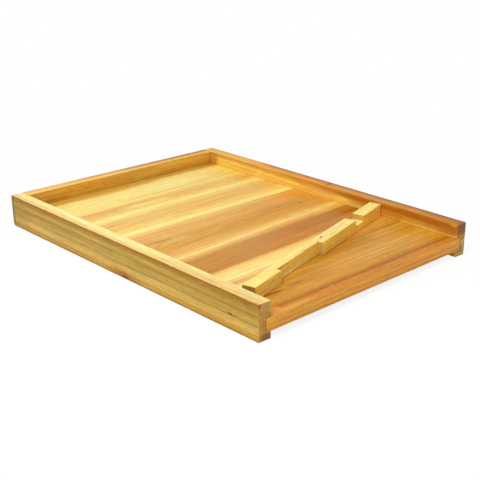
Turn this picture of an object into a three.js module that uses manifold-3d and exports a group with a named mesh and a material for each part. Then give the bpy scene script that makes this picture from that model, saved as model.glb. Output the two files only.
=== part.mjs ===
// Beehive bottom board for a ten-frame hive, with its loose entrance reducer.
// Two dadoed side rails carry a floor of tongue-and-groove boards laid crosswise. An upper and a lower
// cleat close the rear, brads hold the joints, and the entrance is open at the front.
// Millimetres. X runs across, Y from the entrance to the rear, Z up. The origin is at the middle of the
// underside.
import * as THREE from 'three';
import { mergeVertices } from 'three/addons/utils/BufferGeometryUtils.js';
import Module from 'manifold-3d';

const wasm = await Module();
wasm.setup();

// Side rails. The floor sits in a dado, on the lower lip.
const outerWidth = 412.75;
const railThickness = 20;
const lowerLip = 9.5;
const dadoDepth = 8;
const dadoPlay = 0.4;

// Floor boards, from the rear to the entrance. Their widths together give the rails their length.
const floorThickness = 18.5;
const rearBoardWidth = 135;
const secondBoardWidth = 95;
const middleBoardWidth = 86;
const fourthBoardWidth = 130;
const frontBoardWidth = 112.8;
const boardEndGap = 0.6;
const seamGap = 0.2;
const tongueThickness = 6;
const tongueLength = 6;
const grooveClearance = 0.3;

// Height of the rails and of the upper cleat above the floor, which is the height of the entrance.
const trayDepth = 21.5;

// Rear cleats, glued between the rails above and below the floor.
const cleatThickness = 20;
const glueLine = 0.1;

// Eased edge of every wooden piece.
const arris = 0.6;

// Entrance reducer: a square bar with a long notch in its front face and a short one in its top. It lies
// across the floor, turned, with its right end at the right rail.
const reducerSide = 19;
const reducerEndPlay = 0.625;
const longNotchInset = 64.5;
const longNotchLength = 114.5;
const longNotchDepth = 8;
const shortNotchInset = 62.8;
const shortNotchLength = 25.4;
const shortNotchDepth = 9;
const reducerTurn = THREE.MathUtils.degToRad(15.4);
const reducerSetback = 42;
const reducerSideGap = 0.5;
const reducerRestGap = 0.3;

// Brads, each a little below the surface. The long ones go through the rails and the upper cleat, the
// short ones through the lower cleat.
const bradLength = 32;
const shortBradLength = 20;
const bradRadius = 0.8;
const bradHeadRadius = 1.2;
const bradHeadThickness = 0.7;
const bradPointLength = 2.4;
const bradSet = 0.3;
const bradPlay = 0.3;
const bradRise = 12.5;
const bradSides = 8;

// Places of the brads, as shares of each floor board's width from its rear edge, and of a cleat's length
// from its middle.
const boardBradShares = [[0.4, 0.8], [0.25, 0.75], [0.25, 0.75], [0.25, 0.75], [0.2, 0.6]];
const upperCleatBradShares = [-0.4, -0.14, 0.14, 0.4];
const lowerCleatBradShares = [-0.3, -0.08, 0.08, 0.3];

// How far a cut runs past the face it opens.
const overrun = 1;

const boardWidths = [rearBoardWidth, secondBoardWidth, middleBoardWidth, fourthBoardWidth, frontBoardWidth];
const railLength = boardWidths.reduce((sum, width) => sum + width, 0);
const railHeight = lowerLip + floorThickness + trayDepth;
const innerWidth = outerWidth - 2 * railThickness;
const floorTop = lowerLip + floorThickness;
const rearEnd = railLength / 2;
const frontEnd = -railLength / 2;
const cleatLength = innerWidth - 2 * glueLine;
const cleatMiddle = rearEnd - cleatThickness / 2;
const upperCleatBottom = floorTop + glueLine;
const lowerCleatHeight = lowerLip - glueLine;

const tones = {
  leftRail: '#cfae62',
  rightRail: '#c98d49',
  cleat: '#d39a3e',
  boards: ['#f4d98b', '#eec683', '#dfa963', '#cf9654', '#d2934a'],
  reducer: '#eacb74',
  brad: '#8b8881',
};

function waxedWood(colour) {
  return new THREE.MeshStandardMaterial({ color: colour, roughness: 0.4, metalness: 0 });
}

function steel(colour) {
  return new THREE.MeshStandardMaterial({ color: colour, roughness: 0.35, metalness: 0.9 });
}

// A closed geometry as a solid that can be cut.
function solid(geometry) {
  const bare = geometry.clone();
  bare.deleteAttribute('normal');
  bare.deleteAttribute('uv');
  const merged = mergeVertices(bare);
  const corners = [];
  for (let i = 0; i < merged.index.count; i += 3) {
    const [a, b, c] = [merged.index.getX(i), merged.index.getX(i + 1), merged.index.getX(i + 2)];
    if (a !== b && b !== c && c !== a) corners.push(a, b, c);
  }
  return new wasm.Manifold(new wasm.Mesh({
    numProp: 3,
    vertProperties: new Float32Array(merged.attributes.position.array),
    triVerts: new Uint32Array(corners),
  }));
}

function geometryOf(body) {
  const mesh = body.getMesh();
  const indexed = new THREE.BufferGeometry();
  indexed.setAttribute('position', new THREE.BufferAttribute(new Float32Array(mesh.vertProperties), 3));
  indexed.setIndex(Array.from(mesh.triVerts));
  const geometry = indexed.toNonIndexed();
  geometry.computeVertexNormals();
  return geometry;
}

function cut(geometry, cutters) {
  const body = cutters.reduce((rest, cutter) => rest.subtract(solid(cutter)), solid(geometry));
  return geometryOf(body);
}

// Extrudes an outline of [x, z] points along Y, centred on it.
function alongY(outline, length) {
  const shape = new THREE.Shape(outline.map(([x, z]) => new THREE.Vector2(x, z)));
  const geometry = new THREE.ExtrudeGeometry(shape, { depth: length, bevelEnabled: false });
  geometry.translate(0, 0, -length / 2);
  geometry.rotateX(Math.PI / 2);
  return geometry;
}

// Extrudes an outline of [y, z] points along X, centred on it.
function alongX(outline, length) {
  const geometry = alongY(outline, length);
  geometry.rotateZ(Math.PI / 2);
  return geometry;
}

// Rectangle with eased corners, centred across and standing on zero.
function easedRectangle(width, height) {
  const half = width / 2;
  return [
    [arris - half, 0],
    [half - arris, 0],
    [half, arris],
    [half, height - arris],
    [half - arris, height],
    [arris - half, height],
    [-half, height - arris],
    [-half, arris],
  ];
}

// Turned profile about Y: a brad with its point at zero, or with play the hole that it goes in.
function bradShape(length, play, top) {
  const headBottom = length - bradHeadThickness - play;
  const profile = [
    [0, -play],
    [bradRadius + play, bradPointLength - play],
    [bradRadius + play, headBottom],
    [bradHeadRadius + play, headBottom],
    [bradHeadRadius + play, length + top],
    [0, length + top],
  ];
  return new THREE.LatheGeometry(profile.map(([r, y]) => new THREE.Vector2(r, y)), bradSides);
}

// A brad is known by its head's middle on the surface, the way its head faces and the pieces it joins.
function bradAt(name, surface, outward, length, joins) {
  const up = new THREE.Vector3(0, 1, 0);
  const tip = surface.clone().addScaledVector(outward, -bradSet - length);
  return { name, tip, length, joins, turn: new THREE.Quaternion().setFromUnitVectors(up, outward) };
}

const sides = [
  { name: 'left', sign: -1, tone: tones.leftRail },
  { name: 'right', sign: 1, tone: tones.rightRail },
];
const boardRearEdges = boardWidths.map((width, i) => (
  rearEnd - boardWidths.slice(0, i).reduce((sum, one) => sum + one, 0)
));

function sideBrads() {
  const list = [];
  for (const { name, sign } of sides) {
    const outward = new THREE.Vector3(sign, 0, 0);
    const rail = `side_rail_${name}`;
    let number = 0;
    boardBradShares.forEach((shares, i) => {
      for (const share of shares) {
        number += 1;
        const y = boardRearEdges[i] - share * boardWidths[i];
        const surface = new THREE.Vector3(sign * outerWidth / 2, y, lowerLip + bradRise);
        list.push(bradAt(
          `floor_brad_${name}_${number}`, surface, outward, bradLength, [rail, `floor_board_${i + 1}`],
        ));
      }
    });
    const corner = new THREE.Vector3(sign * outerWidth / 2, cleatMiddle, floorTop + trayDepth / 2);
    list.push(bradAt(`corner_brad_${name}`, corner, outward, bradLength, [rail, 'rear_cleat_upper']));
  }
  return list;
}

function cleatBrads() {
  const upper = upperCleatBradShares.map((share, i) => bradAt(
    `upper_cleat_brad_${i + 1}`,
    new THREE.Vector3(share * cleatLength, cleatMiddle, railHeight),
    new THREE.Vector3(0, 0, 1),
    bradLength,
    ['rear_cleat_upper', 'floor_board_1'],
  ));
  const lower = lowerCleatBradShares.map((share, i) => bradAt(
    `lower_cleat_brad_${i + 1}`,
    new THREE.Vector3(share * cleatLength, cleatMiddle, 0),
    new THREE.Vector3(0, 0, -1),
    shortBradLength,
    ['rear_cleat_lower', 'floor_board_1'],
  ));
  return [...upper, ...lower];
}

const brads = [...sideBrads(), ...cleatBrads()];

// A wooden piece at its place, with the holes of the brads that join it.
function boredPiece(name, geometry, position, tone) {
  const holes = brads.filter((brad) => brad.joins.includes(name)).map((brad) => {
    const hole = bradShape(brad.length, bradPlay, bradSet + overrun);
    hole.applyQuaternion(brad.turn);
    hole.translate(...brad.tip.clone().sub(position).toArray());
    return hole;
  });
  const mesh = new THREE.Mesh(cut(geometry, holes), waxedWood(tone));
  mesh.name = name;
  mesh.position.copy(position);
  return mesh;
}

// Outline of a rail across its length, with the dado in its inner side.
function railOutline(sign) {
  const dadoTop = floorTop + dadoPlay;
  const fromOuterFace = [
    [arris, 0],
    [0, arris],
    [0, railHeight - arris],
    [arris, railHeight],
    [railThickness - arris, railHeight],
    [railThickness, railHeight - arris],
    [railThickness, dadoTop],
    [railThickness - dadoDepth, dadoTop],
    [railThickness - dadoDepth, lowerLip],
    [railThickness, lowerLip],
    [railThickness, arris],
    [railThickness - arris, 0],
  ];
  return fromOuterFace.map(([inset, z]) => [sign * (railThickness / 2 - inset), z]);
}

function sideRail({ name, sign, tone }) {
  const position = new THREE.Vector3(sign * (outerWidth - railThickness) / 2, 0, 0);
  return boredPiece(`side_rail_${name}`, alongY(railOutline(sign), railLength), position, tone);
}

// Outline of a floor board across its width: a groove at its rear edge and a tongue at its front edge,
// except at the two ends of the floor.
function boardOutline(width, grooved, tongued) {
  const rear = width / 2 - (grooved ? seamGap / 2 : 0);
  const front = -width / 2 + (tongued ? seamGap / 2 : 0);
  const tongueBottom = (floorThickness - tongueThickness) / 2;
  const tongueTop = tongueBottom + tongueThickness;
  const grooveBack = rear - (tongueLength - seamGap + grooveClearance);
  const groove = [
    [rear, tongueTop + grooveClearance],
    [grooveBack, tongueTop + grooveClearance],
    [grooveBack, tongueBottom - grooveClearance],
    [rear, tongueBottom - grooveClearance],
  ];
  const tongue = [
    [front, tongueBottom],
    [front - tongueLength, tongueBottom],
    [front - tongueLength, tongueTop],
    [front, tongueTop],
  ];
  return [
    [rear - arris, floorThickness],
    [rear, floorThickness - arris],
    ...(grooved ? groove : []),
    [rear, arris],
    [rear - arris, 0],
    [front + arris, 0],
    [front, arris],
    ...(tongued ? tongue : []),
    [front, floorThickness - arris],
    [front + arris, floorThickness],
  ];
}

function floorBoard(width, i) {
  const outline = boardOutline(width, i > 0, i < boardWidths.length - 1);
  const length = innerWidth + 2 * (dadoDepth - boardEndGap);
  const position = new THREE.Vector3(0, boardRearEdges[i] - width / 2, lowerLip);
  return boredPiece(`floor_board_${i + 1}`, alongX(outline, length), position, tones.boards[i]);
}

function rearCleat(name, height, bottom) {
  const position = new THREE.Vector3(0, cleatMiddle, bottom);
  const geometry = alongX(easedRectangle(cleatThickness, height), cleatLength);
  return boredPiece(name, geometry, position, tones.cleat);
}

// The reducer's group stands at the bar's middle, so that the bar and its notches are drawn square.
function entranceReducer() {
  const length = innerWidth - 2 * reducerEndPlay;
  const acrossReach = (length * Math.cos(reducerTurn) + reducerSide * Math.sin(reducerTurn)) / 2;
  const alongReach = (length * Math.sin(reducerTurn) + reducerSide * Math.cos(reducerTurn)) / 2;
  const longNotch = new THREE.BoxGeometry(
    longNotchLength, longNotchDepth + overrun, reducerSide + 2 * overrun,
  );
  longNotch.translate(
    longNotchInset + (longNotchLength - length) / 2,
    (longNotchDepth - overrun - reducerSide) / 2,
    reducerSide / 2,
  );
  const shortNotch = new THREE.BoxGeometry(
    shortNotchLength, reducerSide + 2 * overrun, shortNotchDepth + overrun,
  );
  shortNotch.translate(
    (length - shortNotchLength) / 2 - shortNotchInset,
    0,
    reducerSide + (overrun - shortNotchDepth) / 2,
  );
  const bar = alongX(easedRectangle(reducerSide, reducerSide), length);
  const mesh = new THREE.Mesh(cut(bar, [longNotch, shortNotch]), waxedWood(tones.reducer));
  mesh.name = 'entrance_reducer';
  const group = new THREE.Group();
  group.position.set(
    innerWidth / 2 - reducerSideGap - acrossReach,
    frontEnd + reducerSetback + alongReach,
    floorTop + reducerRestGap,
  );
  group.rotation.z = reducerTurn;
  group.add(mesh);
  return group;
}

function bradMesh(brad) {
  const mesh = new THREE.Mesh(bradShape(brad.length, 0, 0), steel(tones.brad));
  mesh.name = brad.name;
  mesh.quaternion.copy(brad.turn);
  mesh.position.copy(brad.tip);
  return mesh;
}

const bottomBoard = new THREE.Group();
bottomBoard.add(
  ...sides.map(sideRail),
  ...boardWidths.map(floorBoard),
  rearCleat('rear_cleat_upper', railHeight - upperCleatBottom, upperCleatBottom),
  rearCleat('rear_cleat_lower', lowerCleatHeight, 0),
  entranceReducer(),
  ...brads.map(bradMesh),
);

export default bottomBoard;
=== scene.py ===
import math

import bpy
from mathutils import Matrix, Vector


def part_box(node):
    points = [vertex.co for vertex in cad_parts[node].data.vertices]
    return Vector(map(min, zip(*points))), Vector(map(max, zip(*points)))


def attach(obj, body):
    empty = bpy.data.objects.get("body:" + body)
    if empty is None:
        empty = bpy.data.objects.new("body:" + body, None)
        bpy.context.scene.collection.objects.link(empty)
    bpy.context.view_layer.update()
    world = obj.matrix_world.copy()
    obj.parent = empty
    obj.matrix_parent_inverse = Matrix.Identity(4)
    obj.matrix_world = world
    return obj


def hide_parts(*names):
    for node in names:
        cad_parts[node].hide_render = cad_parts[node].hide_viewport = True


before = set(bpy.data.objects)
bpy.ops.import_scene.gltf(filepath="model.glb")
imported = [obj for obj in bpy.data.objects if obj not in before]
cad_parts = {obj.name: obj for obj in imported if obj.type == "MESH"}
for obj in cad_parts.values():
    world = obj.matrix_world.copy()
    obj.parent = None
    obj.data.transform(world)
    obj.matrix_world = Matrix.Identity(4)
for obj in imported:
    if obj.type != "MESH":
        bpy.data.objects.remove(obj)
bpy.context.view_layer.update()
MM = 0.001

# Camera, fitted to the straight edges of the photograph.
camera_place = (-0.875566, -0.980667, 0.498546)
camera_azimuth = math.radians(44.0025)
camera_down = math.radians(21.2053)
camera_roll = math.radians(0.262)
camera_lens = 69.48
camera_film = 36
camera_shift = (-0.0502, 0.01246)
camera_reach = (0.05, 100)

# Light: an even sky, and one large softbox high on the camera's side.
sky_level = 0.44
softbox_place = (-1.1, -0.62, 2.05)
softbox_size = 1.6
softbox_power = 44.5

# Floor of white paper. Its glow hides the horizon, and thins near the object so that the shadow stays.
floor_size = 60
floor_drop = 0.2 * MM
paper_grey = 0.8
near_glow = 0.86
glow_from = 0.4
glow_full = 1.0

# Fits of the joinery and the sizes that only the finished wood has. A hair keeps a rail from reaching past
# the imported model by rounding.
dado_depth = 8 * MM
dado_play = 0.05 * MM
tongue_length = 6 * MM
tongue_height = 6 * MM
groove_clearance = 0.3 * MM
seam_gap = 0.2 * MM
arris = 0.4 * MM
seam_arris = 0.22 * MM
arris_wear = 0.3 * MM
wear_size = 18 * MM
toe_round = 6.5 * MM
toe_segments = 6
rear_block = 8 * MM
grain_step = 5 * MM
hair = 0.001 * MM
weld = 0.01 * MM
sharp_turn = math.radians(30)
smooth_turn = math.radians(32)
squareness = 0.99

# Reducer bar, drawn square and then turned. The notches run from one place to another from its left end.
reducer_turn = math.radians(15.4)
reducer_length = 371.5 * MM
reducer_side = 19 * MM
long_notch = (64.5 * MM, 179 * MM)
long_notch_depth = 8 * MM
short_notch = (283.3 * MM, 308.7 * MM)
short_notch_depth = 9 * MM

# Wax over the brads' heads, the run of wax on the right rail's front end and the specks on the floor.
plug_radius = 1.45 * MM
plug_depth = 0.29 * MM
plug_play = 0.03 * MM
plug_arris = 0.1 * MM
disc_sides = 24
wax_thickness = 0.5 * MM
drop_depth = 0.94 * wax_thickness
wax_voxel = 0.22 * MM
speck_height = 0.16 * MM

# How far a face has to turn, from and to, before it counts as an end or as a flat face.
end_facing = (0.55, 0.8)
flat_facing = (0.5, 0.8)

# Reach of the grain's patterns along the stick and across it, in millimetres.
drift_reach = (110, 40)
fibre_reach = (38, 1.2)
thread_reach = (65, 2.6)
streak_reach = (240, 6)
mottle_reach = (11, 4.2)
pore_reach = (1.2, 0.9)
fleck_reach = (8, 1.1)
dark_line_reach = (150, 2.6)
patch_reach = (24, 11)

# Rings grow wider and narrower over a spell of years, and some are faint.
ring_spell = 3.1
ring_shift = 2.2
faintest_ring = 0.15

# How far the patterns lighten and darken the wood, and the slow casts that are laid over it.
fibre_depth = 0.34
thread_depth = 0.34
streak_depth = 0.16
mottle_depth = 0.22
fleck_depth = 0.12
pore_depth = 0.4
warm_cast = (1.03, 0.985, 0.9, 1)
cool_cast = (0.985, 1.01, 1.1, 1)
late_wood_cast = (0.62, 0.46, 0.3, 1)
untinted = (1.0, 1.0, 1.0)


class Shade:
    """A number that varies over a surface. Sums of it add their own Math nodes."""

    def __init__(self, finish, socket):
        self.finish = finish
        self.socket = socket

    def also(self, output):
        """Another output of the same node."""
        return Shade(self.finish, self.socket.node.outputs[output])

    def __add__(self, other):
        return self.finish.sum("ADD", self, other)

    def __radd__(self, other):
        return self.finish.sum("ADD", other, self)

    def __sub__(self, other):
        return self.finish.sum("SUBTRACT", self, other)

    def __rsub__(self, other):
        return self.finish.sum("SUBTRACT", other, self)

    def __mul__(self, other):
        return self.finish.sum("MULTIPLY", self, other)

    def __rmul__(self, other):
        return self.finish.sum("MULTIPLY", other, self)

    def __truediv__(self, other):
        return self.finish.sum("DIVIDE", self, other)

    def __pow__(self, other):
        return self.finish.sum("POWER", self, other)

    def __abs__(self):
        return self.finish.sum("ABSOLUTE", self)


class Finish:
    """The nodes of one material, or of the sky."""

    def __init__(self, owner):
        owner.use_nodes = True
        self.owner = owner
        self.tree = owner.node_tree
        self.tree.nodes.clear()

    def node(self, kind, settings=None, sockets=None, output=0):
        """Adds a node, with its settings first and then its sockets' values or links."""
        made = self.tree.nodes.new(kind)
        for name, value in (settings or {}).items():
            if name == "stops":
                lay_stops(made.color_ramp, value)
            else:
                setattr(made, name, value)
        for name, value in (sockets or {}).items():
            if isinstance(value, Shade):
                self.tree.links.new(value.socket, made.inputs[name])
            else:
                made.inputs[name].default_value = value
        if made.outputs:
            return Shade(self, made.outputs[output])

    def sum(self, operation, *terms):
        return self.node("ShaderNodeMath", {"operation": operation}, dict(enumerate(terms)))

    def rise(self, value, low, high):
        """Climbs smoothly from 0 to 1 as the value goes from low to high."""
        return self.node(
            "ShaderNodeMapRange",
            {"interpolation_type": "SMOOTHSTEP"},
            {"Value": value, "From Min": low, "From Max": high},
        )

    def ramp(self, value, stops):
        """Colour of a value, from stops given in the value's own units and in order."""
        low = stops[0][0]
        span = stops[-1][0] - low
        shares = [((place - low) / span, colour) for place, colour in stops]
        return self.node("ShaderNodeValToRGB", {"stops": shares}, {"Fac": (value - low) / span})

    def mix(self, share, first, second, blend="MIX"):
        return self.node(
            "ShaderNodeMix", {"data_type": "RGBA", "blend_type": blend}, {0: share, 6: first, 7: second}, 2
        )

    def point(self, x, y, z):
        return self.node("ShaderNodeCombineXYZ", None, {0: x, 1: y, 2: z})

    def noise(self, where, detail=2, rough=0.5):
        return self.node(
            "ShaderNodeTexNoise", None, {"Vector": where, "Scale": 1, "Detail": detail, "Roughness": rough}
        )

    def scaled(self, vector, factor):
        return self.node("ShaderNodeVectorMath", {"operation": "SCALE"}, {0: vector, "Scale": factor})

    def split(self, vector):
        x = self.node("ShaderNodeSeparateXYZ", None, {0: vector})
        return x, x.also(1), x.also(2)

    def bump(self, height, distance, strength=1.0):
        return self.node(
            "ShaderNodeBump", None, {"Height": height, "Distance": distance, "Strength": strength}
        )

    def close(self, surface, kind="ShaderNodeOutputMaterial"):
        self.node(kind, None, {"Surface": surface})
        return self.owner

    def polish(self, sockets):
        """Ends a material with the main shader."""
        return self.close(self.node("ShaderNodeBsdfPrincipled", None, sockets))


def lay_stops(ramp, stops):
    """Gives a colour ramp its stops, each a share of the way and a colour."""
    ramp.elements.remove(ramp.elements[1])
    ramp.elements[0].position, ramp.elements[0].color = stops[0]
    for share, colour in stops[1:]:
        ramp.elements.new(share).color = colour


def tone(code):
    """Colour of a hex code, as the shader's linear values."""
    parts = [int(code[i:i + 2], 16) / 255 for i in (0, 2, 4)]
    return tuple(c / 12.92 if c <= 0.04045 else ((c + 0.055) / 1.055) ** 2.4 for c in parts) + (1,)


def grey(value):
    return (value, value, value, 1)


# The wood's tones.
ivory = tone("f6e292")
cream = tone("fae58c")
butter = tone("f8dc7a")
straw = tone("f4cd6c")
honey = tone("eabb62")
blush = tone("e6b065")
tan = tone("dfa74d")
amber = tone("d69a3c")
gold = tone("cf9330")
heartwood_and_shade = tone("c58634")
rose = tone("bd7d3c")
russet = tone("b9761c")
chestnut = tone("b56c14")
umber = tone("9f5a10")
brass = tone("fbdc70")
marigold = tone("f6ca5a")
saffron = tone("e9aa44")
ochre = tone("dca23c")
pale_olive = tone("d6b155")
olive = tone("c8a348")
moss = tone("ba953c")
dark_olive = tone("ab8429")
bronze = tone("a27419")
wheat = tone("ca9d3a")
sienna = tone("b07f1e")
# painted shade for the rounded rear corner of the left rail
painted_corner_shade = tone("7d6c34")
sand = tone("dbad48")
peach = tone("ebc47a")
lemon = tone("ffee90")
mustard = tone("f9cc44")
corn = tone("fdd86e")
apricot = tone("e89f38")
tangerine = tone("e29a36")
turmeric = tone("d6921e")
hazel = tone("bd8424")
toffee = tone("d3a541")
biscuit = tone("c18f46")
dun = tone("c08a38")
fawn = tone("b2823c")
clay = tone("a56e34")
copper = tone("b5742f")
brick = tone("8f562f")
mauve = tone("965c38")
bark = tone("6b441e")
soot = tone("35230f")
oat = tone("cda053")
ginger = tone("c9812b")
cinnamon = tone("b9701a")
flax = tone("deb95c")
auburn = tone("8c4c14")
barley = tone("dba742")
rye = tone("d29f3b")

# Waxes, by body and cloud, and wire, where it is bright and where it is dull.
clear_wax = (tone("bda868"), tone("dcd8ac"))
pale_wax = (tone("bb964e"), tone("cbae70"))
olive_fill = (tone("c8a352"), tone("c09a4c"))
amber_fill = (tone("c8923e"), tone("bf8a3a"))
honey_fill = (tone("dca653"), tone("d09c4c"))
steel = (tone("a8a49a"), tone("7c756a"))


# Darkness through one year's ring, from its early wood to its late wood.
ring_profile = [(0, grey(0)), (0.5, grey(0.12)), (0.82, grey(0.75)), (0.93, grey(1)), (1, grey(0.05))]


class Timber(Finish):
    """Waxed softwood. A stick's own frame is grain along it, across to the side and up, in millimetres."""

    def __init__(self, name, grain, seed, centre, turn):
        super().__init__(bpy.data.materials.new(name))
        self.seed = seed
        place = self.node("ShaderNodeTexCoord", output="Object")
        facing = place.also("Normal")
        if turn:
            place = self.turned_back(place, turn, centre)
            facing = self.turned_back(facing, turn)
        x, y, self.up = self.split(self.scaled(place, 1 / MM))
        facing_x, facing_y, facing_up = self.split(facing)
        self.along, self.across = (x, y) if grain == "X" else (y, x)
        self.end_face = self.rise(abs(facing_x if grain == "X" else facing_y), *end_facing)
        self.flat_face = self.rise(abs(facing_up), *flat_facing)

    def turned_back(self, vector, turn, centre=(0, 0, 0)):
        return self.node(
            "ShaderNodeMapping",
            {"vector_type": "TEXTURE"},
            {"Vector": vector, "Location": centre, "Rotation": (0, 0, turn)},
        )

    def weave(self, reach, shift_along=0, shift_across=0, detail=2, rough=0.5):
        """A noise that is drawn out along the grain."""
        along = self.along / reach[0] + shift_along
        across = self.across / reach[1] + shift_across
        return self.noise(self.point(along, across, self.up / reach[1]), detail, rough)

    def lay_rings(self, pith, ring, lean, wander):
        """Growth rings round the pith, which leans along the stick and wanders."""
        drift = self.weave(drift_reach, self.seed).also("Color")
        drift_across, drift_up, self.drift_tone = self.split(drift)
        self.ring_across = self.across + self.along * lean[0] + (drift_across - 0.5) * (2 * wander)
        self.ring_up = self.up + self.along * lean[1] + (drift_up - 0.5) * (2 * wander)
        self.radius = ((self.ring_across - pith[0]) ** 2 + (self.ring_up - pith[1]) ** 2) ** 0.5
        slow_years = {"W": self.radius / (ring * ring_spell), "Scale": 1}
        uneven = self.node("ShaderNodeTexNoise", {"noise_dimensions": "1D"}, slow_years)
        count = self.radius / ring + uneven * ring_shift + self.seed
        year = {"W": self.sum("FLOOR", count)}
        strength = self.node("ShaderNodeTexWhiteNoise", {"noise_dimensions": "1D"}, year)
        strength = faintest_ring + strength * (1 - faintest_ring)
        self.late_wood = self.ramp(self.sum("FRACT", count), ring_profile) * strength

    def lay_fibres(self):
        """The wood's own threads, from fine fibres to broad streaks, and the pores and flecks between."""
        seed = self.seed
        self.fibre = self.weave(fibre_reach, seed, detail=3, rough=0.62)
        self.thread = self.weave(thread_reach, seed, detail=3, rough=0.6)
        self.streak = self.weave(streak_reach, seed, detail=3, rough=0.55)
        self.mottle = self.weave(mottle_reach, -seed)
        self.pores = self.weave(pore_reach, 0, seed)
        self.flecks = self.rise(self.weave(fleck_reach, 0, seed), 0.6, 0.76)
        self.dark_lines = self.rise(self.weave(dark_line_reach, -seed), 0.58, 0.7)

    def streaked(self, colour, streaks):
        """Lays soft strokes along the grain, one over the other. Some of them are painted shade."""
        for face, middle, slope, half, start, stop, fade, shade, strength in streaks:
            flat = face == "flat"
            offset = abs((self.ring_across if flat else self.ring_up) - (self.along * slope + middle))
            mask = (1 - self.rise(offset, half * 0.35, half)) * strength
            mask = mask * self.rise(self.along, start - fade, start)
            mask = mask * (1 - self.rise(self.along, stop, stop + fade))
            colour = self.mix(mask * (self.flat_face if flat else 1 - self.flat_face), colour, shade)
        return colour

    def tinted(self, colour, tint):
        """Slow changes of warmth, and the tint that the flat faces take along the stick. On the floor boards
        that tint is painted reflected light from the right rail.
        """
        warmth = self.mix(self.rise(self.drift_tone, 0.3, 0.7), warm_cast, cool_cast)
        colour = self.mix(1.0, colour, warmth, "MULTIPLY")
        if tint:
            start, stop, first, last = tint
            lengthwise = self.mix(self.rise(self.along, start, stop), first + (1,), last + (1,))
            colour = self.mix(self.flat_face, colour, lengthwise, "MULTIPLY")
        return colour

    def ringed(self, colour, contrast, end_contrast):
        """Darkens the late wood, and fine lines on the long faces."""
        rings = self.late_wood * (contrast + (end_contrast - contrast) * self.end_face)
        lines = self.dark_lines * (contrast * 0.8) * (1 - self.end_face)
        darker = self.mix(1.0, colour, late_wood_cast, "MULTIPLY")
        return self.mix(self.sum("MAXIMUM", rings, lines), colour, darker)

    def grained(self, colour, crisp, end_lines):
        """Lays the threads over the long faces, and pores and fine ring lines over the ends."""
        grain = (self.fibre - 0.5) * fibre_depth + (self.thread - 0.5) * thread_depth
        grain = grain + (self.streak - 0.5) * streak_depth + (self.mottle - 0.5) * mottle_depth
        grain = grain - self.flecks * fleck_depth * (1 - self.end_face)
        grain = grain - (self.pores - 0.5) * pore_depth * self.end_face
        if end_lines:
            spacing, depth, lowest = end_lines
            lines = self.sum("SINE", self.radius * (2 * math.pi / spacing) + self.drift_tone * 5)
            lines = lines * self.rise(self.up, lowest - 3, lowest + 5) * (self.pores + 0.3)
            grain = grain + lines * depth * self.end_face
        return self.scaled(colour, 1 + grain * crisp)

    def spotted(self, colour, spots):
        """Lays soft spots with ragged outlines, such as a knot, stains, dark corners, painted shade and
        painted highlights.
        """
        ragged = (self.fibre - 0.5) * 0.6
        for (at, to_side, high), size, shade, strength in spots:
            reach = ((self.along - at) / size[0]) ** 2 + ((self.across - to_side) / size[1]) ** 2
            reach = (reach + ((self.up - high) / size[2]) ** 2) ** 0.5
            colour = self.mix((1 - self.rise(reach + ragged, 0.45, 1)) * strength, colour, shade)
        return colour

    def waxed(self, colour, wax):
        """Ends the material: a thin, uneven coat of wax over a fine relief."""
        patchy = self.weave(patch_reach, 0, self.seed)
        relief = self.fibre * 0.04 + self.thread * 0.05 + self.late_wood * 0.03
        relief = relief + self.pores * 0.04 * self.end_face + patchy * 0.12
        return self.polish({
            "Base Color": colour,
            "Roughness": 0.5 + (self.fibre - 0.5) * 0.2 + self.end_face * 0.12,
            "Specular IOR Level": 0.08,
            "Coat Weight": wax * (0.7 + patchy * 0.6),
            "Coat Roughness": 0.26,
            "Coat IOR": 1.45,
            "Normal": self.bump(relief, MM, 0.6),
        })


def timber(name, grain, seed, pith, ring, wander, contrast, crisp, flat, edge, end, lean=(0, 0), wax=0.25,
           end_contrast=0.5, end_lines=None, tint=None, streaks=(), spots=(), centre=None, turn=0.0):
    """A stick's material, with all places in millimetres. The pith is given across and up. Flat, edge and end
    are the tones of the faces that look up, sideways and along: flat by the place across, edge by height and
    end by distance from the pith. A tint is a start and a stop along the stick and a factor for each. End
    lines are a spacing, a depth and the lowest height. A streak is a face, a middle, a slope, half a width, a
    start, a stop, a fade, a tone and a strength. A spot is a middle, a size, a tone and a strength."""
    wood = Timber(name, grain, seed, centre, turn)
    wood.lay_rings(pith, ring, lean, wander)
    wood.lay_fibres()
    colour = wood.mix(wood.flat_face, wood.ramp(wood.ring_up, edge), wood.ramp(wood.ring_across, flat))
    colour = wood.streaked(colour, streaks)
    colour = wood.mix(wood.end_face, colour, wood.ramp(wood.radius, end))
    colour = wood.tinted(colour, tint)
    colour = wood.ringed(colour, contrast, end_contrast)
    colour = wood.grained(colour, crisp, end_lines)
    colour = wood.spotted(colour, spots)
    return wood.waxed(colour, wax)


def wire(name):
    """Bright drawn wire with faint draw marks and dulled spots."""
    f = Finish(bpy.data.materials.new(name))
    place = f.node("ShaderNodeTexCoord", output="Object")
    marks = f.noise(f.scaled(place, 900), 3)
    dull = f.rise(f.noise(f.scaled(place, 260), 2), 0.45, 0.7)
    return f.polish({
        "Base Color": f.mix(dull, *steel),
        "Metallic": 1 - dull * 0.25,
        "Roughness": 0.28 + marks * 0.2 + dull * 0.2,
        "Normal": f.bump(marks, 0.02 * MM),
    })


def set_wax(name, body, cloud):
    """Wax that has set in a hollow or a run: smooth, and a little cloudy in swirls."""
    f = Finish(bpy.data.materials.new(name))
    place = f.node("ShaderNodeTexCoord", output="Object")
    swirl = f.noise(f.scaled(place, 420), 3)
    return f.polish({
        "Base Color": f.mix(f.rise(swirl, 0.4, 0.68), body, cloud),
        "Roughness": 0.3 + swirl * 0.2,
        "Specular IOR Level": 0.2,
        "Coat Weight": 0.15 + swirl * 0.3,
        "Coat Roughness": 0.12,
        "Normal": f.bump(swirl, 0.15 * MM),
    })


def millimetres(*sizes):
    return tuple(size * MM for size in sizes)


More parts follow.
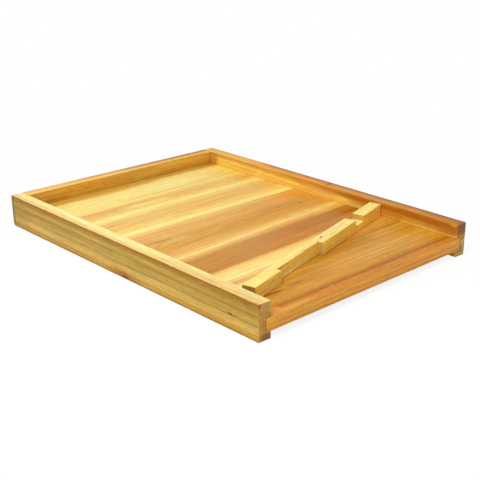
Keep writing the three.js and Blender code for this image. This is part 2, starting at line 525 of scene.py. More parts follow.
def choose(piece):
    """Selects a piece alone and makes it active."""
    bpy.ops.object.select_all(action="DESELECT")
    piece.select_set(True)
    bpy.context.view_layer.objects.active = piece


def edit(piece):
    choose(piece)
    bpy.ops.object.mode_set(mode="EDIT")
    bpy.ops.mesh.select_mode(type="FACE")


def settle(piece):
    """Puts a piece's place, turn and size in its mesh."""
    bpy.ops.object.transform_apply(location=True, rotation=True, scale=True)
    return piece


def section(name, grain, low, high):
    """A rectangle square to the grain at its low end, open in edit mode."""
    size = high - low
    index = "XYZ".index(grain)
    centre = (low + high) / 2
    centre[index] = low[index]
    turns = {"X": (0, math.pi / 2, 0), "Y": (math.pi / 2, 0, 0), "Z": (0, 0, 0)}
    spans = {"X": (size.z, size.y, 1), "Y": (size.x, size.z, 1), "Z": (size.x, size.y, 1)}
    bpy.ops.object.select_all(action="DESELECT")
    bpy.ops.mesh.primitive_plane_add(size=1, location=centre, rotation=turns[grain])
    piece = bpy.context.object
    piece.name = piece.data.name = name
    piece.scale = spans[grain]
    edit(settle(piece))
    return piece


def scribe(axis, places):
    """Cuts across all faces at each place along an axis."""
    normal = Vector([float(axis == one) for one in "XYZ"])
    for place in places:
        bpy.ops.mesh.select_all(action="SELECT")
        bpy.ops.mesh.bisect(plane_co=normal * place, plane_no=normal)


def pick(piece, wanted):
    """Selects the faces whose middle is wanted."""
    bpy.ops.mesh.select_all(action="DESELECT")
    bpy.ops.object.mode_set(mode="OBJECT")
    for face in piece.data.polygons:
        face.select = wanted(face.center)
    bpy.ops.object.mode_set(mode="EDIT")


def leave_out(piece, wanted):
    """Deletes the faces whose middle is wanted and selects the rest."""
    pick(piece, wanted)
    bpy.ops.mesh.delete(type="FACE")
    bpy.ops.mesh.select_all(action="SELECT")


def draw_out(travel, steps=1):
    for _ in range(steps):
        bpy.ops.mesh.extrude_region_move(TRANSFORM_OT_translate={"value": travel / steps})


def make_solid():
    bpy.ops.mesh.select_all(action="SELECT")
    bpy.ops.mesh.normals_make_consistent(inside=False)
    bpy.ops.object.mode_set(mode="OBJECT")


def apply(piece, kind, **settings):
    choose(piece)
    modifier = piece.modifiers.new(kind.lower(), kind)
    for name, value in settings.items():
        setattr(modifier, name, value)
    bpy.ops.object.modifier_apply(modifier=modifier.name)


def round_toe(piece, last):
    """Rounds the lower edge of a stick's end, which is at the place last along Y."""
    edit(piece)
    bpy.ops.mesh.select_mode(type="EDGE")
    bpy.ops.mesh.select_all(action="DESELECT")
    bpy.ops.object.mode_set(mode="OBJECT")
    points = [corner.co for corner in piece.data.vertices]
    for line in piece.data.edges:
        line.select = all(points[i].z < hair and points[i].y > last - 2 * hair for i in line.vertices)
    bpy.ops.object.mode_set(mode="EDIT")
    bpy.ops.mesh.bevel(offset=toe_round, segments=toe_segments, affect="EDGES")
    bpy.ops.object.mode_set(mode="OBJECT")


def ease(piece, width, segments=3):
    apply(piece, "BEVEL", width=width, segments=segments, limit_method="ANGLE", angle_limit=sharp_turn)


def wear(piece, depth):
    """Wears the eased edges unevenly, always inwards."""
    worn = {
        i for face in piece.data.polygons if max(map(abs, face.normal)) < squareness for i in face.vertices
    }
    group = piece.vertex_groups.new(name="arris")
    group.add(list(worn), 1, "REPLACE")
    clouds = bpy.data.textures.new(piece.name + "_wear", "CLOUDS")
    clouds.noise_scale = wear_size
    apply(
        piece, "DISPLACE", texture=clouds, texture_coords="LOCAL", strength=depth, mid_level=1,
        vertex_group="arris",
    )


def dent(middle, reach):
    """A ball, stretched to its reach each way, to carve with or to set as a drop."""
    bpy.ops.object.select_all(action="DESELECT")
    bpy.ops.mesh.primitive_ico_sphere_add(subdivisions=3, radius=1, location=middle)
    ball = bpy.context.object
    ball.scale = reach
    return settle(ball)


def disc(middle, facing, radius, depth):
    """A short cylinder whose outer face is at the middle given, looking the way of facing."""
    bpy.ops.object.select_all(action="DESELECT")
    bpy.ops.mesh.primitive_cylinder_add(
        vertices=disc_sides,
        radius=radius,
        depth=depth,
        location=middle - facing * depth / 2,
        rotation=facing.to_track_quat("Z", "Y").to_euler(),
    )
    return settle(bpy.context.object)


def together(name, objects):
    bpy.ops.object.select_all(action="DESELECT")
    for one in objects:
        one.select_set(True)
    bpy.context.view_layer.objects.active = objects[0]
    bpy.ops.object.join()
    objects[0].name = objects[0].data.name = name
    return objects[0]


def carve(piece, tools):
    """Takes the tools' shapes out of the wood."""
    tool = together(piece.name + "_tool", tools)
    apply(piece, "BOOLEAN", object=tool, operation="DIFFERENCE", solver="EXACT")
    bpy.data.objects.remove(tool)


def set_in(piece, body, slot, material, *nodes):
    """Gives a finished piece its smoothing, material and body, and hides the nodes that it stands for. The
    slot is not used.
    """
    choose(piece)
    bpy.ops.object.shade_smooth_by_angle(angle=smooth_turn)
    piece.data.materials.clear()
    piece.data.materials.append(material)
    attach(piece, body)
    if nodes:
        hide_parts(*nodes)


def brad_heads(prefixes, axis, surface):
    """Where the named brads would come through the surface, which lies across the axis."""
    heads = []
    for name in sorted(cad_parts):
        if name.startswith(prefixes):
            low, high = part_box(name)
            head = (low + high) / 2
            head[axis] = surface
            heads.append(head)
    return heads


def plug_holes(heads, facing):
    """Tools for the shallow holes over the brads."""
    return [disc(head + facing * MM, facing, plug_radius, plug_depth + MM) for head in heads]


def side_rail(name, low, high, sign, trim):
    """A rail with its dado: the dado's strip is left out of the section, which is drawn out to the rear. Its
    last block is drawn in one step, so that the toe can be rounded there."""
    low = Vector((low.x, low.y + trim, low.z))
    piece = section(name, "Y", low, high)
    dado_back = (high.x if sign < 0 else low.x) + sign * dado_depth
    dado_top = floor_top + dado_play
    scribe("Z", (floor_bottom, dado_top))
    scribe("X", (dado_back,))
    leave_out(piece, lambda m: floor_bottom < m.z < dado_top and (m.x - dado_back) * sign < 0)
    length = high.y - low.y - hair
    draw_out(Vector((0, length - rear_block, 0)), round(length / grain_step))
    draw_out(Vector((0, rear_block, 0)))
    make_solid()
    return piece


def floor_board(name, low, high, grooved, tongued):
    """A board with its tongue and groove: their corners are left out of the section."""
    piece = section(name, "X", low, high)
    middle = (floor_top + floor_bottom) / 2
    tongue = (middle - tongue_height / 2, middle + tongue_height / 2)
    groove = (tongue[0] - groove_clearance, tongue[1] + groove_clearance)
    shoulder = low.y + tongue_length
    groove_back = high.y - (tongue_length - seam_gap + groove_clearance)
    if tongued:
        scribe("Z", tongue)
        scribe("Y", (shoulder,))
        leave_out(piece, lambda m: m.y < shoulder and not tongue[0] < m.z < tongue[1])
    if grooved:
        scribe("Z", groove)
        scribe("Y", (groove_back,))
        leave_out(piece, lambda m: m.y > groove_back and groove[0] < m.z < groove[1])
    length = high.x - low.x
    draw_out(Vector((length, 0, 0)), round(length / (2 * grain_step)))
    make_solid()
    return piece


def cleat(name, low, high):
    piece = section(name, "X", low, high)
    length = high.x - low.x
    draw_out(Vector((length, 0, 0)), round(length / grain_step))
    make_solid()
    return piece


def reducer_bar(name):
    """The bar from its plan: the long notch is left out of the plan, and the short one is passed over when
    the upper layer is drawn up."""
    half = Vector((reducer_length, reducer_side, reducer_side)) / 2
    piece = section(name, "Z", -half, half)
    left = -half.x
    notch_back = -half.y + long_notch_depth
    count = round(reducer_length / grain_step)
    scribe("X", [left + reducer_length * i / count for i in range(1, count)])
    scribe("X", [left + place for place in long_notch + short_notch])
    scribe("Y", (notch_back,))
    leave_out(piece, lambda m: m.y < notch_back and long_notch[0] < m.x - left < long_notch[1])
    draw_out(Vector((0, 0, reducer_side - short_notch_depth)))
    shelf = half.z - short_notch_depth
    pick(piece, lambda m: m.z > shelf - hair and not short_notch[0] < m.x - left < short_notch[1])
    draw_out(Vector((0, 0, short_notch_depth)))
    bpy.ops.mesh.select_all(action="SELECT")
    bpy.ops.mesh.dissolve_degenerate(threshold=weld)
    make_solid()
    return piece


def make_plugs(name, heads, facing, material, slot):
    """A shallow wax plug with eased edges over each brad's head."""
    first = disc(heads[0] - facing * plug_play, facing, plug_radius - plug_play, plug_depth - 2 * plug_play)
    ease(first, plug_arris, 2)
    plugs = [first]
    for head in heads[1:]:
        copy = first.copy()
        copy.data = first.data.copy()
        copy.data.transform(Matrix.Translation(head - heads[0]))
        bpy.context.scene.collection.objects.link(copy)
        plugs.append(copy)
    set_in(together(name, plugs), "board", slot, material)


def make_rail(side, sign, low, high, trim, wood):
    """A side rail, knocked and worn, with wax over its brads. The trim sets its front end back."""
    piece = side_rail("rail_" + side, low, high, sign, trim)
    if side == "left":
        round_toe(piece, high.y)
    ease(piece, arris)
    wear(piece, arris_wear)
    facing = Vector((sign, 0, 0))
    outer = high.x if sign > 0 else low.x
    heads = brad_heads(("floor_brad_" + side, "corner_brad_" + side), 0, outer)
    tools = plug_holes(heads, facing)
    for along, height, reach in edge_knocks[side]:
        tools.append(dent((outer, along, height), reach))
    carve(piece, tools)
    slot = "rail_" + side
    set_in(piece, "board", slot, timber("waxed_rail_" + side, "Y", **wood), "side_rail_" + side)
    make_plugs("wax_plugs_" + side, heads, facing, plug_wax[side], slot)


def make_floor():
    last = len(boards) - 1
    for i, (place, wood) in enumerate(board_wood.items()):
        piece = floor_board("board_" + place, *boards[i], i > 0, i < last)
        ease(piece, seam_arris, 2)
        if i == last:
            wear(piece, seam_arris)
        material = timber("waxed_board_" + place, "X", **wood)
        set_in(piece, "board", "floor_" + place, material, board_names[i])


def make_cleat(name, sign, surface, material):
    node = "rear_" + name
    piece = cleat(name, *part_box(node))
    ease(piece, arris)
    wear(piece, arris_wear)
    facing = Vector((0, 0, sign))
    heads = brad_heads(name.replace("cleat_", "") + "_cleat_brad", 2, surface)
    carve(piece, plug_holes(heads, facing))
    set_in(piece, "board", "cleat", material, node)
    make_plugs("wax_plugs_" + name, heads, facing, plug_wax["cleat"], "cleat")


def make_reducer():
    low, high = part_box("entrance_reducer")
    middle = (low + high) / 2
    piece = reducer_bar("reducer_bar")
    ease(piece, arris)
    wear(piece, arris_wear)
    piece.location = middle
    piece.rotation_euler.z = reducer_turn
    settle(piece)
    material = timber("waxed_reducer", "X", centre=middle, turn=reducer_turn, **reducer_wood)
    set_in(piece, "reducer", "reducer", material, "entrance_reducer")


def make_wax_run():
    drops = [
        dent(
            (right_high.x - inset * MM, right_low.y + wax_thickness, height * MM),
            (half_width * MM, drop_depth, half_height * MM),
        )
        for inset, height, half_width, half_height in wax_run
    ]
    run = together("wax_run", drops)
    apply(run, "REMESH", mode="VOXEL", voxel_size=wax_voxel)
    apply(run, "SMOOTH", factor=0.6, iterations=6)
    set_in(run, "board", "rail_right", set_wax("clear_wax", *clear_wax))


def make_specks():
    drops = [
        dent((x * MM, y * MM, floor_top), (half_x * MM, half_y * MM, speck_height))
        for x, y, half_x, half_y in wax_specks
    ]
    material = set_wax("pale_wax", *pale_wax)
    set_in(together("wax_specks", drops), "board", "floor_front", material)


def make_brads():
    material = wire("bright_wire")
    for name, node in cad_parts.items():
        if "brad" in name:
            node.data.materials.clear()
            node.data.materials.append(material)


def make_camera():
    data = bpy.data.cameras.new("camera")
    data.sensor_width = camera_film
    data.lens = camera_lens
    data.shift_x, data.shift_y = camera_shift
    data.clip_start, data.clip_end = camera_reach
    camera = bpy.data.objects.new("camera", data)
    camera.matrix_world = (
        Matrix.Translation(camera_place)
        @ Matrix.Rotation(-camera_azimuth, 4, "Z")
        @ Matrix.Rotation(math.pi / 2 - camera_down, 4, "X")
        @ Matrix.Rotation(camera_roll, 4, "Z")
    )
    bpy.context.scene.collection.objects.link(camera)
    bpy.context.scene.camera = camera


def seen_directly(f):
    """1 for camera, glossy and transmission rays, and 0 for the rays that carry light to the object."""
    path = f.node("ShaderNodeLightPath", output="Is Camera Ray")
    return f.sum("MINIMUM", path + path.also("Is Glossy Ray") + path.also("Is Transmission Ray"), 1)


def make_stage():
    bpy.ops.object.select_all(action="DESELECT")
    bpy.ops.mesh.primitive_plane_add(size=floor_size, location=(0, 0, -floor_drop))
    floor = bpy.context.object
    floor.name = "studio_floor"
    f = Finish(bpy.data.materials.new("studio_paper"))
    seen = seen_directly(f)
    place = f.node("ShaderNodeTexCoord", output="Object")
    away = f.node("ShaderNodeVectorMath", {"operation": "LENGTH"}, {0: place}, 1)
    paper = f.node("ShaderNodeBsdfDiffuse", None, {"Color": f.mix(seen, grey(paper_grey), grey(1))})
    glow = f.node("ShaderNodeEmission", None, {"Color": grey(1), "Strength": 1})
    share = seen * (near_glow + (1 - near_glow) * f.rise(away, glow_from, glow_full))
    floor.data.materials.append(f.close(f.node("ShaderNodeMixShader", None, {0: share, 1: paper, 2: glow})))


def make_light():
    world = bpy.data.worlds.new("studio")
    bpy.context.scene.world = world
    f = Finish(world)
    strength = seen_directly(f) * (1 - sky_level) + sky_level
    sky = f.node("ShaderNodeBackground", None, {"Color": grey(1), "Strength": strength})
    f.close(sky, "ShaderNodeOutputWorld")
    lamp = bpy.data.lights.new("softbox", "AREA")
    lamp.shape = "DISK"
    lamp.size = softbox_size
    lamp.energy = softbox_power
    box = bpy.data.objects.new("softbox", lamp)
    box.location = softbox_place
    box.rotation_euler = Vector(softbox_place).to_track_quat("Z", "Y").to_euler()
    bpy.context.scene.collection.objects.link(box)


left_low, left_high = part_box("side_rail_left")
right_low, right_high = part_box("side_rail_right")
board_names = ["floor_board_1", "floor_board_2", "floor_board_3", "floor_board_4", "floor_board_5"]
boards = [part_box(name) for name in board_names]
floor_bottom = boards[0][0].z
floor_top = boards[0][1].z
rail_top = left_high.z

# Knocks on the rails' outer arrises: place along, height, and reach across, along and up.
edge_knocks = {
    "left": [
        (-262 * MM, rail_top, millimetres(0.9, 4.2, 1.0)),
        (-248 * MM, rail_top, millimetres(0.7, 2.4, 1.3)),
        (-231 * MM, rail_top, millimetres(0.8, 3.0, 0.8)),
        (-96 * MM, rail_top, millimetres(0.7, 5.0, 0.7)),
        (132 * MM, rail_top, millimetres(0.6, 3.2, 0.9)),
        (-150 * MM, 0, millimetres(0.9, 4.0, 0.9)),
    ],
    "right": [
        (-120 * MM, rail_top, millimetres(0.7, 3.4, 0.9)),
        (60 * MM, rail_top, millimetres(0.8, 5.0, 0.7)),
        (210 * MM, 0, millimetres(0.9, 4.0, 1.1)),
    ],
}

# The run of wax: place in from the right rail's outer face, height, half width and half height.
wax_run = [
    (6.8, 20.8, 1.8, 3.0),
    (5.8, 17.2, 1.0, 2.6),
    (3.0, 21.8, 0.7, 2.4),
    (4.8, 13.0, 0.8, 3.6),
    (4.6, 8.2, 0.7, 3.2),
    (1.0, 13.0, 0.6, 8.0),
    (4.0, 4.0, 1.1, 1.8),
    (9.0, 4.2, 1.1, 2.2),
    (12.6, 3.4, 1.2, 1.5),
]

# Specks of wax on the floor: place across and along, and half sizes.
wax_specks = [(-66.6, -266.8, 1.9, 1.2), (-58.0, -268.5, 0.6, 0.5)]

# The photograph shows the left rail's outer face and the right rail's inner one.
left_rail_wood = dict(
    seed=3.1, pith=(-136, 4), ring=2.8, wander=1.0, contrast=0.34, crisp=1.8,
    end_lines=(3.3, 0.25, 24), tint=(-230, 0, (0.95, 0.95, 0.88), (0.98, 1.05, 1.2)),
    flat=[(-207, honey), (-204, peach), (-200, straw), (-196, cream), (-190, ivory), (-186, butter)],
    edge=[(0, sienna), (2, sienna), (4, wheat), (8.4, wheat), (10.2, flax), (15, pale_olive),
          (18.8, pale_olive), (20, moss), (22, olive), (27, olive), (30, moss), (33, dark_olive),
          (36, olive), (38, olive), (41, moss), (44, dark_olive), (47, bronze), (50, bronze)],
    # The end tones hold the end grain's own darker colour and painted shade on the ends, which face the
    # front.
    end=[(40, clay), (54, clay), (60, dun), (68, biscuit), (76, biscuit), (82, fawn)],
    streaks=[
        ("edge", 33, 0.004, 2.0, -300, 300, 20, dark_olive, 0.5),
        ("edge", 38.5, 0, 1.0, -279, 120, 60, olive, 0.6),
        ("edge", 26, 0.003, 1.0, -279, 150, 60, moss, 0.5),
        ("edge", 20.0, 0, 0.9, -279, -30, 50, dark_olive, 0.75),
        ("edge", 28, 0, 9, -10, 90, 50, pale_olive, 0.3),
        ("edge", 25, 0, 60, 244, 300, 30, sienna, 0.35),
        ("edge", 12, 0.002, 1.2, -160, 180, 60, olive, 0.4),
        ("edge", 7.0, 0, 3.0, 170, 300, 60, heartwood_and_shade, 0.5),
        ("edge", 43, 0, 12, -300, -160, 120, bronze, 0.3),
        # A dark line under the top arris: small chips in the arris, and painted shade under it.
        ("edge", 48.6, 0, 1.4, -300, 290, 60, umber, 0.55),
        ("edge", 49, 0, 0.9, -279, -40, 80, umber, 0.35),
        # Painted shade on the rounded rear corner.
        ("edge", 25, 0, 80, 274, 300, 4, painted_corner_shade, 0.8),
        ("flat", -203, 0, 14, -300, -180, 140, peach, 0.8),
        ("flat", -188, 0, 7, -300, -190, 50, peach, 0.4),
    ],
    spots=[
        ((-12, -206.4, 4), (48, 8, 10), umber, 0.45),
        ((-13, -206.4, 2.5), (20, 8, 9), umber, 0.5),
        ((-15.5, -206.4, 0.8), (9.5, 8, 5.2), bark, 0.85),
        ((-231.5, -206.4, 21.2), (10, 1.5, 1.5), soot, 0.85),
        ((226, -206.4, 21.5), (6, 1.5, 3), bronze, 0.7),
        ((-274, -206.4, 48.5), (6, 3, 2.2), copper, 0.8),
        ((-280, -197, 21.5), (3, 8, 5), copper, 0.7),
        ((-280, -195, 4), (3, 12, 8.5), brick, 0.9),
        ((-280, -187, 1), (3, 4, 2.4), bark, 0.8),
        # Brown above the floor board's end: a chip in the dado's upper edge, and painted shade in the gap
        # there.
        ((-280, -190, 30), (3, 5, 2), copper, 0.8),
        ((-280, -206, 47), (3, 5, 5), brick, 0.8),
        # Painted highlight along the front end's inner upright arris.
        ((-280, -186.6, 39), (3, 1.8, 13), blush, 0.8),
        ((-280, -206.2, 12), (3, 1.8, 14), olive, 0.7),
    ],
)

right_rail_wood = dict(
    seed=8.7, pith=(203, 92), ring=4.2, wander=1.2, contrast=0.3, crisp=1.1, lean=(0, -0.0154),
    end_contrast=0.3, wax=0.1, tint=(-279, 240, (0.7, 0.59, 0.45), (1.12, 1.07, 0.85)),
    flat=[(186, saffron), (190, saffron), (194, tangerine), (198, turmeric), (201.5, turmeric),
          (203.8, umber), (205.5, auburn), (207, auburn)],
    edge=[(0, ochre), (24, marigold), (35, marigold), (36, corn), (37.6, corn), (39.2, marigold),
          (41.7, sand), (43, ochre), (45.5, ochre), (48, saffron), (53, saffron)],
    # The end tones hold the end grain's own darker colour and painted shade on the ends, which face the
    # front.
    end=[(40, mauve), (50, mauve), (54, clay), (58, dun), (63, dun), (68, biscuit), (73, fawn),
         (85, fawn)],
    streaks=[
        ("edge", 28.8, 0, 3.2, -110, 250, 30, corn, 0.35),
        ("edge", 28.6, -0.0154, 1.6, -205, 300, 15, brass, 0.5),
        ("edge", 39, 0, 5, -300, -110, 60, gold, 0.85),
        ("edge", 31, 0, 8, -190, -150, 30, gold, 0.25),
        ("edge", 41, 0, 6, -300, -256, 20, chestnut, 0.5),
        ("edge", 47.2, 0, 8, -300, -105, 120, chestnut, 1.0),
        ("edge", 39.5, 0, 4, -30, 20, 30, amber, 0.4),
        ("edge", 38, 0, 12, -300, -262, 45, heartwood_and_shade, 0.35),
        ("edge", 44, 0, 5, -300, -268, 12, russet, 0.6),
        ("edge", 48.5, -0.0154, 2.6, -130, 0, 60, tan, 0.4),
        # Painted shade and reflection where the inner face meets the rear cleat.
        ("edge", 33, 0, 14, 248, 300, 14, heartwood_and_shade, 0.75),
        ("edge", 46.8, 0, 5, -70, 50, 50, chestnut, 0.35),
        # Painted shade where the reducer's end meets the inner face.
        ("edge", 34, 0, 10, -172, -142, 12, chestnut, 0.4),
        ("flat", 197, 0, 16, -300, -258, 30, chestnut, 0.25),
        ("flat", 200, 0, 14, -300, -274, 8, umber, 0.35),
        ("flat", 196, 0, 40, 165, 300, 50, honey, 0.6),
        ("flat", 205.5, 0, 3, -300, 60, 90, auburn, 0.6),
        ("flat", 190, 0, 8, -150, -55, 30, peach, 0.25),
    ],
    spots=[
        ((-20, 200, 49.5), (5.5, 12, 4), auburn, 0.75),
        ((110, 200, 49.5), (10, 7, 4), rose, 0.5),
        ((60, 192, 49.5), (14, 5, 4), rose, 0.4),
        ((-120, 201, 49.5), (16, 6, 4), russet, 0.4),
        ((-195, 194, 49.5), (16, 5, 4), amber, 0.5),
        ((-236, 200, 49.5), (12, 5, 4), brick, 0.5),
        ((-272, 186.4, 47), (7.5, 3, 2.8), ochre, 0.6),
        ((-279, 206.4, 41), (3, 3.4, 13), soot, 0.75),
        # Painted highlight along the front end's inner upright arris.
        ((-280.4, 188.2, 43), (2, 1.3, 8), blush, 0.6),
        ((-279, 189, 3), (3, 5, 6), toffee, 0.6),
    ],
)

# The boards' grain runs across the hive, so their places across are places along it. Only the front board
# shows its edge and its ends. Their tints, warmer and more orange towards the right rail, are painted
# reflected light from that rail.
plain_edge = [(8, amber), (30, amber)]
plain_end = [(0, amber), (400, tan)]
rear_wood = dict(
    seed=1.3, pith=(330, -40), ring=5, wander=2.6, contrast=0.14, crisp=1.3,
    tint=(130, 186, untinted, (1.0, 0.92, 0.6)),
    # The darker band along the rear cleat, in the tones from 249 on and the toffee stroke at 252, is partly
    # the wood's own streak and partly painted shade and reflection of the cleat.
    flat=[(144, butter), (150, honey), (166, honey), (172, straw), (182, butter), (190, butter),
          (204, cream), (232, cream), (239, butter), (249, toffee), (258, toffee), (280, gold)],
    edge=plain_edge, end=plain_end,
    streaks=[
        ("flat", 161, 0, 8, -190, -95, 30, blush, 0.9),
        ("flat", 168, 0, 2.0, -190, -80, 60, rose, 0.6),
        ("flat", 164, 0.01, 1.6, -40, 60, 60, tan, 0.5),
        ("flat", 200, 0.02, 30, 130, 190, 60, straw, 0.6),
        ("flat", 188, 0.01, 6, -30, 190, 60, honey, 0.5),
        ("flat", 155, 0, 9, -60, -10, 30, butter, 0.7),
        ("flat", 236, 0.02, 16, 60, 110, 30, cream, 0.6),
        ("flat", 172, 0.02, 3, -30, 90, 60, tan, 0.35),
        ("flat", 252, 0.03, 13, -190, 190, 10, toffee, 0.9),
        ("flat", 239.5, 0.03, 3.5, -70, 20, 50, tan, 0.7),
        ("flat", 153, 0, 8, 168, 200, 30, apricot, 0.6),
        ("flat", 251, 0, 6, 150, 200, 30, gold, 0.6),
    ],
)

second_wood = dict(
    seed=5.9, pith=(190, -50), ring=5.5, wander=3.0, contrast=0.24, crisp=1.3,
    tint=(-140, 186, (1.01, 1.06, 1.14), (1.0, 0.95, 0.84)),
    flat=[(49, straw), (53, butter), (57, ivory), (60, cream), (66, straw), (76, straw), (86, honey),
          (112, honey), (120, straw), (127, butter), (133, cream), (137, butter), (145, straw)],
    edge=plain_edge, end=plain_end,
    streaks=[
        ("flat", 126.5, 0, 1.3, -80, 80, 30, tan, 0.5),
        ("flat", 109.5, -0.03, 1.7, -190, 10, 40, tan, 0.8),
        ("flat", 108, 0, 1.6, 10, 190, 40, tan, 0.7),
        ("flat", 100.8, 0.108, 1.5, -190, -24, 12, tan, 0.8),
        ("flat", 94.2, -0.21, 1.5, -18, 16, 12, tan, 0.8),
        ("flat", 90.4, 0.04, 1.8, 22, 190, 16, tan, 0.8),
        ("flat", 98.5, -0.03, 1.2, -190, -115, 12, heartwood_and_shade, 0.6),
        ("flat", 101.5, -0.03, 1.0, -190, -125, 10, heartwood_and_shade, 0.5),
    ],
)

middle_wood = dict(
    seed=2.2, pith=(4, -40), ring=5.0, wander=2.4, contrast=0.26, crisp=1.3, lean=(0, 0.035),
    tint=(-150, 170, (1.05, 1.1, 1.28), (0.98, 0.9, 0.64)),
    flat=[(-37, tan), (-27, amber), (2, amber), (14, tan), (38, tan), (44, honey), (50, honey)],
    edge=plain_edge, end=plain_end,
    streaks=[
        ("flat", -11, 0, 22, 162, 190, 24, saffron, 0.4),
        ("flat", -9, -0.02, 7, 20, 190, 80, gold, 0.5),
        ("flat", 30, 0, 26, 150, 200, 50, apricot, 0.5),
        ("flat", -13.9, 0.1416, 1.4, -130, 105, 20, heartwood_and_shade, 0.7),
        ("flat", 49.9, 0.41, 1.8, -175, -112, 6, heartwood_and_shade, 0.9),
        ("flat", -5, 0, 9, -150, -100, 25, honey, 0.4),
        ("flat", -35, 0, 4, 90, 190, 30, honey, 0.5),
        ("flat", -7.8, -0.117, 1.6, -190, -112, 6, heartwood_and_shade, 0.8),
        ("flat", 1.0, -0.117, 1.4, -190, -70, 30, gold, 0.7),
        ("flat", 27.0, 0.24, 1.4, -190, -90, 20, gold, 0.6),
        ("flat", 20, 0.09, 1.2, -60, 60, 30, gold, 0.5),
    ],
    spots=[
        ((100, -3, 28), (6, 1.6, 6), umber, 0.65),
        ((144, -9, 28), (8, 2.4, 6), umber, 0.6),
        ((-112, 5, 28), (9, 1.5, 6), rose, 0.6),
    ],
)

fourth_wood = dict(
    seed=7.4, pith=(-260, -60), ring=4.5, wander=2.2, contrast=0.22, crisp=1.3, lean=(-0.047, 0),
    tint=(-150, 180, (0.99, 1.01, 1.12), (0.97, 0.9, 0.66)),
    flat=[(-175, tan), (-165, tan), (-160, cream), (-155, butter), (-138, straw), (-131, honey),
          (-124, heartwood_and_shade), (-76, heartwood_and_shade), (-68, tan), (-61, honey), (-57, butter), (-54, straw),
          (-48, honey), (-44, saffron), (-34, tan)],
    edge=plain_edge, end=plain_end,
    streaks=[
        ("flat", -57, 0, 1.8, -190, 190, 30, cream, 0.8),
        ("flat", -46.5, 0, 1.0, -190, 190, 30, butter, 0.5),
        ("flat", -51, 0, 0.9, -190, 190, 30, tan, 0.5),
        ("flat", -92, 0, 24, 70, 190, 110, russet, 0.85),
        ("flat", -126, 0, 3, -190, 10, 40, russet, 0.35),
        ("flat", -124, 0, 9, -10, 90, 40, russet, 0.45),
        ("flat", -142, 0, 1.6, -190, 190, 30, honey, 0.6),
        ("flat", -152, 0, 1.2, -190, 190, 30, honey, 0.5),
        ("flat", -160, 0, 26, 84, 190, 58, amber, 0.95),
        ("flat", -150, 0, 14, -140, -30, 40, ivory, 0.5),
        ("flat", -112, 0.03, 5, 20, 190, 60, heartwood_and_shade, 0.5),
        ("flat", -98, 0, 7, 160, 200, 14, umber, 0.6),
        ("flat", -69, 0, 8, 140, 190, 40, honey, 0.6),
        ("flat", -118, 0, 1.4, -150, -110, 20, umber, 0.5),
    ],
)

front_wood = dict(
    seed=4.6, pith=(-205, -58), ring=4.6, wander=1.6, contrast=0.34, crisp=1.5,
    tint=(90, 186, untinted, (1.03, 1.02, 0.76)),
    flat=[(-280, ginger), (-270, ginger), (-266, cinnamon), (-262, chestnut), (-257, hazel),
          (-250, gold), (-243, gold), (-237, amber), (-226, amber), (-222, tan), (-216, gold),
          (-206, gold), (-197, hazel), (-176, hazel), (-166, gold)],
    # The edge tones hold the wood's own colour and painted shade on the front edge.
    edge=[(9, gold), (12, turmeric), (14.5, apricot), (17, apricot), (19, tangerine), (21.5, saffron),
          (24, apricot), (28, apricot)],
    end=[(80, gold), (200, tan)],
    streaks=[
        ("flat", -150, 0.18, 42, -190, -70, 50, cream, 0.85),
        ("flat", -174, 0, 5, -190, -70, 40, blush, 0.7),
        ("flat", -179, 0, 7, -150, -90, 20, tan, 0.8),
        ("flat", -225, 0, 20, -140, -60, 60, hazel, 0.75),
        ("flat", -276, 0, 7, -190, -130, 30, tan, 0.6),
        ("flat", -243, 0, 9, -165, -112, 14, hazel, 0.55),
        ("flat", -222, 0, 7, -160, -90, 20, toffee, 0.35),
        ("flat", -186, 0, 14, 130, 190, 40, tan, 0.5),
        ("flat", -264, 0, 3.4, -190, 190, 10, umber, 0.35),
        ("flat", -177, 0.01, 1.6, 40, 190, 30, umber, 0.35),
        ("flat", -187, 0, 1.4, 20, 150, 40, umber, 0.3),
        ("flat", -208, 0, 1.4, -60, 190, 40, umber, 0.25),
        ("flat", -214, 0.01, 1.2, -80, 190, 40, umber, 0.3),
        ("flat", -226, 0.006, 1.6, -120, 190, 40, umber, 0.3),
        ("flat", -234, 0, 1.2, -150, 120, 40, umber, 0.25),
        ("flat", -244, 0, 1.4, -60, 190, 40, umber, 0.3),
        ("edge", 18.2, 0, 1.0, -190, 190, 10, russet, 0.5),
        ("edge", 13.0, 0, 0.8, -190, 190, 10, russet, 0.45),
    ],
    spots=[
        ((-94, -230, 28), (22, 3.4, 5), umber, 0.7),
        ((-170, -267, 28), (14, 7, 6), apricot, 0.6),
        ((-138, -232.6, 28), (26, 4.4, 5), umber, 0.95),
    ],
)

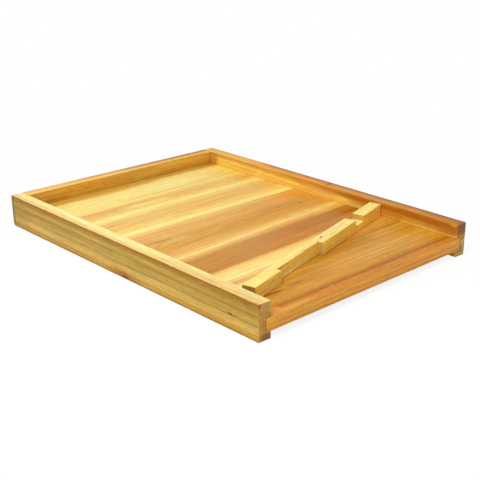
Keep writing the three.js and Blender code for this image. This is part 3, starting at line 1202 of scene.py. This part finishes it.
cleat_wood = dict(
    seed=6.3, pith=(300, 75), ring=4.4, wander=1.8, contrast=0.26, crisp=1.5, wax=0.15,
    tint=(-60, 120, (1.06, 1.02, 0.9), (1.0, 0.87, 0.68)),
    flat=[(259, honey), (264, straw), (270, honey), (273, saffron), (275.7, turmeric), (278.4, clay)],
    # The edge tones hold the wood's own colour and painted shade on the inner face, which faces the front.
    edge=[(0, gold), (28, toffee), (31, sand), (35, sand), (38, barley), (43, barley), (47, rye),
          (50, ochre)],
    end=[(20, amber), (120, gold)],
    streaks=[
        ("edge", 34.2, 0.004, 1.8, -190, 60, 60, dark_olive, 0.25),
        ("edge", 31.5, 0.004, 1.2, -190, 190, 40, russet, 0.4),
        ("edge", 32.5, 0.004, 5, 90, 190, 60, heartwood_and_shade, 0.5),
        ("edge", 39.5, 0.01, 1.8, -190, 190, 60, russet, 0.25),
        ("edge", 43.5, 0.006, 1.4, -60, 190, 60, heartwood_and_shade, 0.5),
        ("edge", 45, 0, 5, 90, 150, 40, marigold, 0.4),
        ("edge", 39.5, 0, 3.6, 50, 190, 40, marigold, 0.3),
        ("edge", 31, 0, 7, 176, 190, 12, russet, 0.3),
        ("edge", 31.5, 0, 5, -160, -126, 20, umber, 0.4),
        ("flat", 276, 0, 9, -220, -130, 70, honey, 0.9),
        ("flat", 275.5, 0, 8, 60, 200, 90, fawn, 0.75),
    ],
)

# The reducer's places are taken from its middle, before it is turned.
reducer_wood = dict(
    seed=9.5, pith=(70, -4), ring=2.6, wander=0.8, contrast=0.16, crisp=2.0, end_contrast=0.3,
    end_lines=(3.4, 0.12, -20),
    flat=[(-10, butter), (4, butter), (10, cream)],
    # The sides' tones grow paler towards the bottom: painted light that offsets the shade near the floor.
    edge=[(-10, lemon), (-6, lemon), (-1.5, brass), (3.5, marigold), (10, marigold)],
    end=[(55, oat), (82, oat)],
    streaks=[
        ("edge", 0, 0, 60, 40, 190, 150, mustard, 0.7),
        ("edge", 0, 0, 60, -190, -130, 50, sand, 0.35),
    ],
    spots=[
        ((10.3, 3, 9.5), (5.2, 1.6, 3), soot, 1.0),
        # Painted shade on the left end face.
        ((-187, 0, 0), (5, 22, 22), brick, 0.66),
    ],
)

board_wood = {
    "rear": rear_wood,
    "second": second_wood,
    "middle": middle_wood,
    "fourth": fourth_wood,
    "front": front_wood,
}
plug_wax = {
    "left": set_wax("fill_olive", *olive_fill),
    "right": set_wax("fill_amber", *amber_fill),
    "cleat": set_wax("fill_honey", *honey_fill),
}
cleat_material = timber("waxed_cleat", "X", **cleat_wood)

make_camera()
make_rail("left", -1, left_low, left_high, 0, left_rail_wood)
make_rail("right", 1, right_low, right_high, wax_thickness, right_rail_wood)
make_floor()
make_cleat("cleat_upper", 1, rail_top, cleat_material)
make_cleat("cleat_lower", -1, 0, cleat_material)
make_reducer()
make_wax_run()
make_specks()
make_brads()
make_stage()
make_light()

bpy.context.scene.view_settings.view_transform = "Standard"
